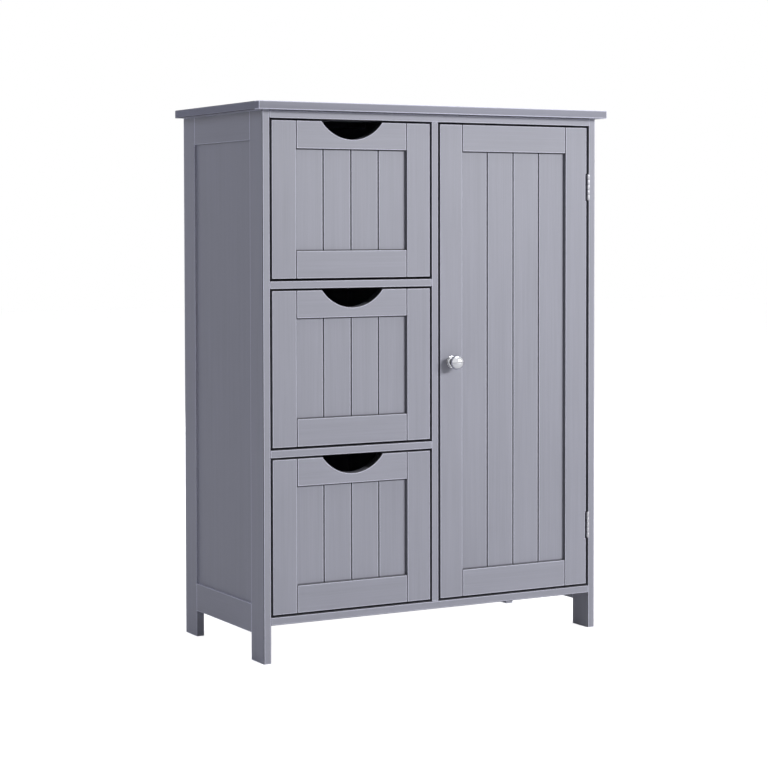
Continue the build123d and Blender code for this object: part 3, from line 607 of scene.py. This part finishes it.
knob_low, knob_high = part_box("door_knob")
knob_middle = (knob_low + knob_high) / 2
projection = face_y - knob_low.y
knob_spigot, knob_radius, crown_start = 0.002, 0.0110, 0.0166
knob_profile = [
    (0.0, -0.011),
    (knob_spigot, -0.011),
    (knob_spigot, 0.0),
    (0.0089, 0.0),
    *curve_points((0.0084, 0.0012), 0.0006, 0.0006, 0, 90, 5),
    (0.0076, 0.0018),
    *curve_points((0.0064, 0.0024), 0.0008, 0.0006, 0, 90, 4),
    *curve_points((0.0072, 0.0086), 0.0030, 0.0056, 270, 180, 10)[1:-1],
    (0.0042, 0.0086),
    *curve_points((0.0078, 0.0088), 0.0036, 0.0052, 180, 90, 8)[1:],
    *curve_points((0.0086, 0.0164), 0.0024, 0.0024, 270, 360, 8),
    *curve_points((0.0, crown_start), knob_radius, projection - crown_start, 2, 90, 22)[:-1],
    (0.0, projection),
]
on_door = Vector((knob_middle.x, face_y, knob_middle.z))
knob_mesh = lathe(knob_profile, 96, "knob", on_door, Matrix.Rotation(radians(90), 4, "X"))
bright_plate = plated("bright plate", (0.81, 0.82, 0.86), 0.09, 0.03)
tree = bright_plate.node_tree
nodes, links = tree.nodes, tree.links
at = components(tree, nodes.new("ShaderNodeTexCoord").outputs["Object"])
# painted shade and dark reflection, by depth from the door: at the flange's foot, in the waist and
# under the head's rim
forward = ranged(tree, at["Y"], 0.0, 1.0, face_y, knob_low.y)
knob_shade_ramp = nodes.new("ShaderNodeValToRGB")
for place, level in (
    (0.0, 0.10),
    (0.03, 0.20),
    (0.05, 1.0),
    (0.12, 1.0),
    (0.16, 0.25),
    (0.60, 0.10),
    (0.70, 0.35),
    (0.74, 1.0),
):
    stop = knob_shade_ramp.color_ramp.elements.new(place)
    stop.color = (level, level, level, 1)
knob_shade_ramp.color_ramp.elements.remove(knob_shade_ramp.color_ramp.elements[0])
links.new(forward, knob_shade_ramp.inputs["Fac"])
plate_shade_mix = nodes.new("ShaderNodeMix")
plate_shade_mix.data_type, plate_shade_mix.blend_type = "RGBA", "MULTIPLY"
plate_shade_mix.inputs["Factor"].default_value = 1.0
metal = nodes["Principled BSDF"]
links.new(metal.inputs["Base Color"].links[0].from_socket, plate_shade_mix.inputs["A"])
links.new(knob_shade_ramp.outputs["Color"], plate_shade_mix.inputs["B"])
links.new(plate_shade_mix.outputs["Result"], metal.inputs["Base Color"])
piece_from(knob_mesh, "knob", "door", ["door_knob"], bright_plate)


# Butt hinges: each is two pressed leaves whose ends are rolled into knuckles round a pin, three
# on the leg's leaf and two on the door's. The pins have small crowned tips. Small fixings such as
# these are set by one tree at every place where the cabinet has one.
def fixing_tree():
    """One shape copied to every seat, turned the way that the seat points."""
    sockets = (("Fixing", "Object", None), ("Size", "Float", 1.0), ("Finish", "Material", None))
    tree = maker_tree("fixings at their seats", sockets)
    nodes, links = tree.nodes, tree.links
    given = nodes.new("NodeGroupInput").outputs
    shape = nodes.new("GeometryNodeObjectInfo")
    links.new(given["Fixing"], shape.inputs["Object"])
    way = nodes.new("GeometryNodeInputNamedAttribute")
    way.data_type = "FLOAT_VECTOR"
    way.inputs["Name"].default_value = "outwards"
    turn = nodes.new("FunctionNodeAlignRotationToVector")
    turn.axis = "Z"
    links.new(way.outputs["Attribute"], turn.inputs["Vector"])
    copies = nodes.new("GeometryNodeInstanceOnPoints")
    links.new(given["Geometry"], copies.inputs["Points"])
    links.new(shape.outputs["Geometry"], copies.inputs["Instance"])
    links.new(turn.outputs["Rotation"], copies.inputs["Rotation"])
    links.new(given["Size"], copies.inputs["Scale"])
    end_tree(tree, copies.outputs["Instances"], given["Finish"])
    return tree


def fixings_at(seats, shape_mesh, name, finish):
    """The mesh of one fixing at each seat, which is a place and the way out of the wood."""
    pattern = bpy.data.objects.new(name + " pattern", shape_mesh)
    bpy.context.scene.collection.objects.link(pattern)
    cloud = bpy.data.meshes.new(name)
    cloud.from_pydata([tuple(place) for place, _ in seats], [], [])
    outwards = cloud.attributes.new("outwards", "FLOAT_VECTOR", "POINT")
    for item, (_, way) in zip(outwards.data, seats):
        item.vector = way
    mesh = made_by(fixings, cloud, {"Fixing": pattern, "Finish": finish})
    bpy.data.objects.remove(pattern)
    return mesh


def joined(meshes, name, sharp_from=None):
    """Several closed meshes as one."""
    shape = bmesh.new()
    for mesh in meshes:
        shape.from_mesh(mesh)
    return mesh_of(shape, name, sharp_from)


def cut_away(mesh, tool):
    """The mesh less the space of the tool, which is another mesh."""
    blank = bpy.data.objects.new("blank", mesh)
    punch = bpy.data.objects.new("punch", tool)
    for item in (blank, punch):
        bpy.context.scene.collection.objects.link(item)
    cut = blank.modifiers.new("cut", "BOOLEAN")
    cut.object, cut.operation, cut.solver, cut.use_self = punch, "DIFFERENCE", "EXACT", True
    ready = blank.evaluated_get(bpy.context.evaluated_depsgraph_get())
    rest = bpy.data.meshes.new_from_object(ready)
    for item in (blank, punch):
        bpy.data.objects.remove(item)
    rest.shade_smooth()
    rest.set_sharp_from_angle(angle=radians(30))
    return rest


def countersunk(mesh, seats):
    """The mesh with a countersunk hole for the screw at each seat."""
    head, shank, above, reach = 0.00256, 0.0014, 0.0005, 0.004
    profile = [(0.0, above), (head, above), (head, 0.0), (shank, shank - head), (shank, -reach)]
    hole = lathe([*profile, (0.0, -reach)], 32, "hole")
    return cut_away(mesh, fixings_at(seats, hole, "holes", satin_nickel))


fixings = fixing_tree()
satin_nickel = plated("satin nickel plate", (0.60, 0.60, 0.64), 0.36, 0.06)
barrel_radius, pin_radius, pin_play = 0.002, 0.001, 0.00005
hinge_height, knuckle_gap, knuckle_edge, knuckle_crown = 0.0395, 0.0003, 0.0007, 0.0009
knuckle_pitch = (hinge_height + knuckle_gap) / 5
knuckle_length = knuckle_pitch - knuckle_gap
leaf_thickness, leaf_reach, leaf_corner, leaf_foot = 0.0009, 0.013, 0.0015, 0.00175
flat_start, neck_end = 0.0003, 0.0006
screw_inset, screw_spread = 0.009, 0.011
pin_low, pin_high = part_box("hinge_pins")
barrel_x, barrel_y = (pin_low.x + pin_high.x) / 2, (pin_low.y + pin_high.y) / 2
leaf_low, leaf_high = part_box("frame_hinge_leaves")
hinge_starts = (leaf_low.z, leaf_high.z - hinge_height)
bore, rim = pin_radius + pin_play, barrel_radius - knuckle_edge
knuckle_profile = [
    (bore, 0.0),
    (rim, 0.0),
    *curve_points((rim, knuckle_crown), knuckle_edge, knuckle_crown, 270, 360, 4)[1:],
    *curve_points((rim, knuckle_length - knuckle_crown), knuckle_edge, knuckle_crown, 0, 90, 4),
    (bore, knuckle_length),
    (bore, 0.0),
]
knuckle = lathe(knuckle_profile, 24, "knuckle")


def leaf_plate(foot_x, way, name):
    """The flats of two leaves, with rounded back corners, from behind the barrel into the joint."""
    shape = bmesh.new()
    front, back = face_y + flat_start, face_y + leaf_reach
    for start in hinge_starts:
        top = start + hinge_height
        outline = [(front, start), (front, top)]
        for middle, first in ((top - leaf_corner, 90), (start + leaf_corner, 0)):
            centre = (back - leaf_corner, middle)
            outline += curve_points(centre, leaf_corner, leaf_corner, first, first - 90, 4)
        face = shape.faces.new([shape.verts.new((foot_x, y, z)) for y, z in outline])
        raised = bmesh.ops.extrude_face_region(shape, geom=[face])
        moved = [part for part in raised["geom"] if isinstance(part, bmesh.types.BMVert)]
        bmesh.ops.translate(shape, verts=moved, vec=(-way * leaf_thickness, 0, 0))
    bmesh.ops.recalc_face_normals(shape, faces=shape.faces[:])
    return mesh_of(shape, name)


leaf_seats = {}
for body, node, way, counts in (
    ("cabinet", "frame_hinge_leaves", 1, (0, 2, 4)),
    ("door", "door_hinge_leaves", -1, (1, 3)),
):
    foot = barrel_x + way * leaf_foot
    outer = foot - way * leaf_thickness
    leaf_seats[body] = [
        (Vector((outer, face_y + screw_inset, start + hinge_height / 2 + step)), (-way, 0, 0))
        for start in hinge_starts
        for step in (-screw_spread, screw_spread)
    ]
    bottoms = [start + count * knuckle_pitch for start in hinge_starts for count in counts]
    seats = [(Vector((barrel_x, barrel_y, bottom)), (0, 0, 1)) for bottom in bottoms]
    # each knuckle runs into the flat of its leaf
    necks = [
        rounded_block(
            (min(foot, outer), barrel_y, bottom),
            (max(foot, outer), face_y + neck_end, bottom + knuckle_length),
            0.0001,
            steps=1,
        )
        for bottom in bottoms
    ]
    flats = countersunk(leaf_plate(foot, way, node), leaf_seats[body])
    knuckles = fixings_at(seats, knuckle, node + " knuckles", satin_nickel)
    mesh = joined([flats, knuckles, *necks], node, 35)
    piece_from(mesh, f"{body}_rolled_leaves", body, [node], satin_nickel)

tip_radius, tip_height = barrel_radius - 0.0002, 0.001
pin_profile = [
    (0.0, -tip_height),
    *curve_points((0.0, 0.0), tip_radius, tip_height, 275, 360, 6),
    (pin_radius, 0.0),
    (pin_radius, hinge_height),
    *curve_points((0.0, hinge_height), tip_radius, tip_height, 0, 85, 6),
    (0.0, hinge_height + tip_height),
]
pin_mesh = lathe(pin_profile, 24, "hinge pin")
seats = [(Vector((barrel_x, barrel_y, start)), (0, 0, 1)) for start in hinge_starts]
pins = fixings_at(seats, pin_mesh, "hinge_pins_turned", satin_nickel)
piece_from(pins, "pins", "cabinet", ["hinge_pins"], satin_nickel)

# Shelf pins: turned nickel pins pushed into holes in the walls, with a fat end that carries the
# shelf.
shelf_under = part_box("shelf")[0].z
pin_length, pin_fat, pin_thin, pin_chamfer = 0.008, 0.0035, 0.0025, 0.0002
pin_shape = lathe(
    [
        (0.0, -pin_length),
        (pin_thin - pin_chamfer, -pin_length),
        (pin_thin, pin_chamfer - pin_length),
        (pin_thin, 0.0),
        (pin_fat - pin_chamfer, 0.0),
        (pin_fat, pin_chamfer),
        *curve_points((0.0029, 0.0074), 0.0006, 0.0006, 0, 90, 4),
        (0.0, pin_length),
    ],
    28,
    "shelf pin",
)
pins_low, pins_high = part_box("shelf_pins")
seats = [
    (Vector((x, y, shelf_under - pin_fat)), (way, 0, 0))
    for x, way in ((pins_low.x + pin_length, 1), (pins_high.x - pin_length, -1))
    for y in (pins_low.y + pin_fat, pins_high.y - pin_fat)
]
pegs = fixings_at(seats, pin_shape, "shelf_pins_turned", satin_nickel)
piece_from(pegs, "pegs", "cabinet", ["shelf_pins"], satin_nickel)


# Magnetic catch: a white moulded housing under the top rail with two steel pole strips, and the
# thin steel plate on the door that it holds.
def moulded_plastic(name, colour):
    """Matt moulded plastic with the fine grain of its tool."""
    plastic, tree, body = new_finish(name)
    place = tree.nodes.new("ShaderNodeTexCoord").outputs["Object"]
    grain = noise_at(tree, place, 1800.0)
    tree.links.new(two_tone(tree, grain, shaded(colour, 0.95), colour), body.inputs["Base Color"])
    tree.links.new(ranged(tree, grain, 0.42, 0.58), body.inputs["Roughness"])
    return plastic


catch_low, catch_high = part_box("door_catch")
plate_low, plate_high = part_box("catch_plate")
plate_middle = (plate_low + plate_high) / 2
ear_width, ear_thickness = 0.009, 0.002
pole_pitch, pole_trim, pole_inset, pole_reach, pole_root = 0.002, 0.0003, 0.002, 0.001, 0.003
housing_front = catch_low.y + pole_reach
ear_under = catch_high.z - ear_thickness
ear_seats = [
    (Vector((x, (catch_low.y + catch_high.y) / 2, ear_under)), (0, 0, -1))
    for x in (catch_low.x + ear_width / 2, catch_high.x - ear_width / 2)
]
ears = rounded_block((catch_low.x, housing_front, ear_under), catch_high, 0.0007)
box = rounded_block(
    (catch_low.x + ear_width, housing_front, catch_low.z),
    (catch_high.x - ear_width, catch_high.y, catch_high.z),
    0.0010,
)
housing = joined([box, countersunk(ears, ear_seats)], "catch_housing", 35)
catch_plastic = moulded_plastic("catch plastic", (0.75, 0.75, 0.74))
piece_from(housing, "catch", "cabinet", ["door_catch"], catch_plastic)
pole_low = (catch_low.x + ear_width + pole_inset, catch_low.y)
pole_high = (catch_high.x - ear_width - pole_inset, housing_front + pole_root)
poles = joined(
    [
        rounded_block(
            (*pole_low, middle - pole_pitch / 2 + pole_trim),
            (*pole_high, middle + pole_pitch / 2 - pole_trim),
            0.0002,
            steps=2,
        )
        for middle in (plate_middle.z - pole_pitch, plate_middle.z + pole_pitch)
    ],
    "catch_poles",
)
piece_from(poles, "poles", "cabinet", [], satin_nickel)
finish_node("catch_plate", satin_nickel)

# Wood screws: countersunk, with a crossed slot, in the hinge leaves, the runner strips, the catch
# and its plate.
zinc_plate = plated("zinc plate", (0.62, 0.63, 0.66), 0.32, 0.06)


def crossed_screw(length):
    """A countersunk screw with its head's flat at the origin, pointing up, and a crossed slot."""
    head, shank, tip, point = 0.0025, 0.0013, 0.0003, 0.002
    slot_arm, slot_half, slot_depth, above = 0.0014, 0.0003, 0.0009, 0.0005
    profile = [
        (0.0, 0.0),
        (head - 0.0001, 0.0),
        (head, -0.0001),
        (shank, shank - head),
        (shank, point - length),
        (tip, -length),
        (0.0, -length),
    ]
    slots = [
        rounded_block((-x, -y, -slot_depth), (x, y, above), 0.0001, steps=1)
        for x, y in ((slot_arm, slot_half), (slot_half, slot_arm))
    ]
    return cut_away(lathe(profile, 32, "screw"), joined(slots, "slots"))


runner_low, runner_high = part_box("drawer_runners")
back_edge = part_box("left_back_leg")[1].y
runner_thickness, runner_screw_inset, runner_height = 0.0087, 0.024, 0.075
plate_screw_spread = 0.012
runner_seats = [
    (Vector((x, y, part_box(f"{word}_drawer_left_side")[0].z + runner_height)), (way, 0, 0))
    for x, way in ((runner_low.x + runner_thickness, 1), (runner_high.x - runner_thickness, -1))
    for y in (face_y + runner_screw_inset, back_edge - runner_screw_inset)
    for word in ("bottom", "middle", "top")
]
plate_seats = [
    (Vector((plate_middle.x + step, plate_high.y, plate_middle.z)), (0, 1, 0))
    for step in (-plate_screw_spread, plate_screw_spread)
]
short_screw, long_screw = crossed_screw(0.010), crossed_screw(0.016)
for body, node, short_seats, long_seats in (
    ("cabinet", "frame_screws", leaf_seats["cabinet"] + ear_seats, runner_seats),
    ("door", "door_screws", leaf_seats["door"] + plate_seats, []),
):
    mesh = fixings_at(short_seats, short_screw, node + " short", zinc_plate)
    if long_seats:
        longer = fixings_at(long_seats, long_screw, node + " long", zinc_plate)
        mesh = joined([mesh, longer], node + "_slotted")
    piece_from(mesh, f"{body}_slotted_screws", body, [node], zinc_plate)

# Room: a plain pale floor with soft studio light from the right front, and white beyond it. The
# camera stands where the photograph's did.
camera_data = bpy.data.cameras.new("camera")
camera_data.sensor_width = 36.0
camera_data.lens = 96.987
camera_data.shift_y = -0.11
camera_data.clip_start, camera_data.clip_end = 0.05, 60.0
camera = bpy.data.objects.new("camera", camera_data)
camera.location = (-1.5727, -2.8017, 0.6314)
camera.rotation_euler = (radians(87.9649), radians(0.1013), radians(-29.0399))
bpy.context.scene.collection.objects.link(camera)
bpy.context.scene.camera = camera


def seen_directly(tree):
    """1 for what the camera sees straight or through glass, and 1 for what it sees mirrored."""
    rays = tree.nodes.new("ShaderNodeLightPath").outputs
    straight = figured(tree, "MAXIMUM", rays["Is Camera Ray"], rays["Is Transmission Ray"])
    return straight, rays["Is Glossy Ray"]


floor_mesh = bpy.data.meshes.new("floor")
reach = 12.0
corners = [(-reach, -reach, 0), (reach, -reach, 0), (reach, reach, 0), (-reach, reach, 0)]
floor_mesh.from_pydata(corners, [], [(0, 1, 2, 3)])
floor = bpy.data.objects.new("floor", floor_mesh)
bpy.context.scene.collection.objects.link(floor)
floor_paint, tree, base = new_finish("pale floor")
base.inputs["Base Color"].default_value = (0.70, 0.70, 0.70, 1)
base.inputs["Roughness"].default_value = 0.9
base.inputs["Specular IOR Level"].default_value = 0.1
straight, mirrored = seen_directly(tree)
glow = tree.nodes.new("ShaderNodeEmission")
level = figured(tree, "MULTIPLY_ADD", mirrored, 0.20, multiplied(tree, straight, 0.90))
tree.links.new(level, glow.inputs["Strength"])
total = tree.nodes.new("ShaderNodeAddShader")
tree.links.new(base.outputs[0], total.inputs[0])
tree.links.new(glow.outputs[0], total.inputs[1])
tree.links.new(total.outputs[0], tree.nodes["Material Output"].inputs["Surface"])
floor_mesh.materials.append(floor_paint)

world = bpy.data.worlds.new("studio")
world.use_nodes = True
bpy.context.scene.world = world
tree = world.node_tree
air = tree.nodes["Background"]
air.inputs["Color"].default_value = (1.0, 1.0, 1.0, 1)
straight, mirrored = seen_directly(tree)
strength = mixed(tree, mixed(tree, 0.09, 1.0, straight), 0.90, mirrored)
tree.links.new(strength, air.inputs["Strength"])


def softbox(name, place, target, size, power, tint=(1.0, 1.0, 1.0)):
    """A soft rectangular lamp at a place, turned to a target."""
    lamp = bpy.data.lights.new(name, "AREA")
    lamp.color = tint
    lamp.shape = "RECTANGLE"
    lamp.size, lamp.size_y = size
    lamp.energy = power
    holder = bpy.data.objects.new(name, lamp)
    holder.location = place
    holder.rotation_euler = (Vector(target) - Vector(place)).to_track_quat("-Z", "Y").to_euler()
    bpy.context.scene.collection.objects.link(holder)


softbox("key", (2.15, -3.5, 1.75), (0.0, 0.0, 0.55), (2.0, 0.8), 110.0)
softbox("fill", (-2.9, 1.35, 2.9), (-0.3, 0.1, 0.7), (2.0, 2.0), 19.5, (0.90, 0.95, 1.24))
softbox("overhead", (0.2, -0.3, 3.4), (0.0, 0.0, 0.8), (2.2, 2.2), 36.0)
softbox("behind", (0.7, 3.6, 1.3), (0.0, 0.15, 0.5), (1.6, 1.6), 45.0)

bpy.context.scene.view_settings.view_transform = "Standard"

low, high = cad_box
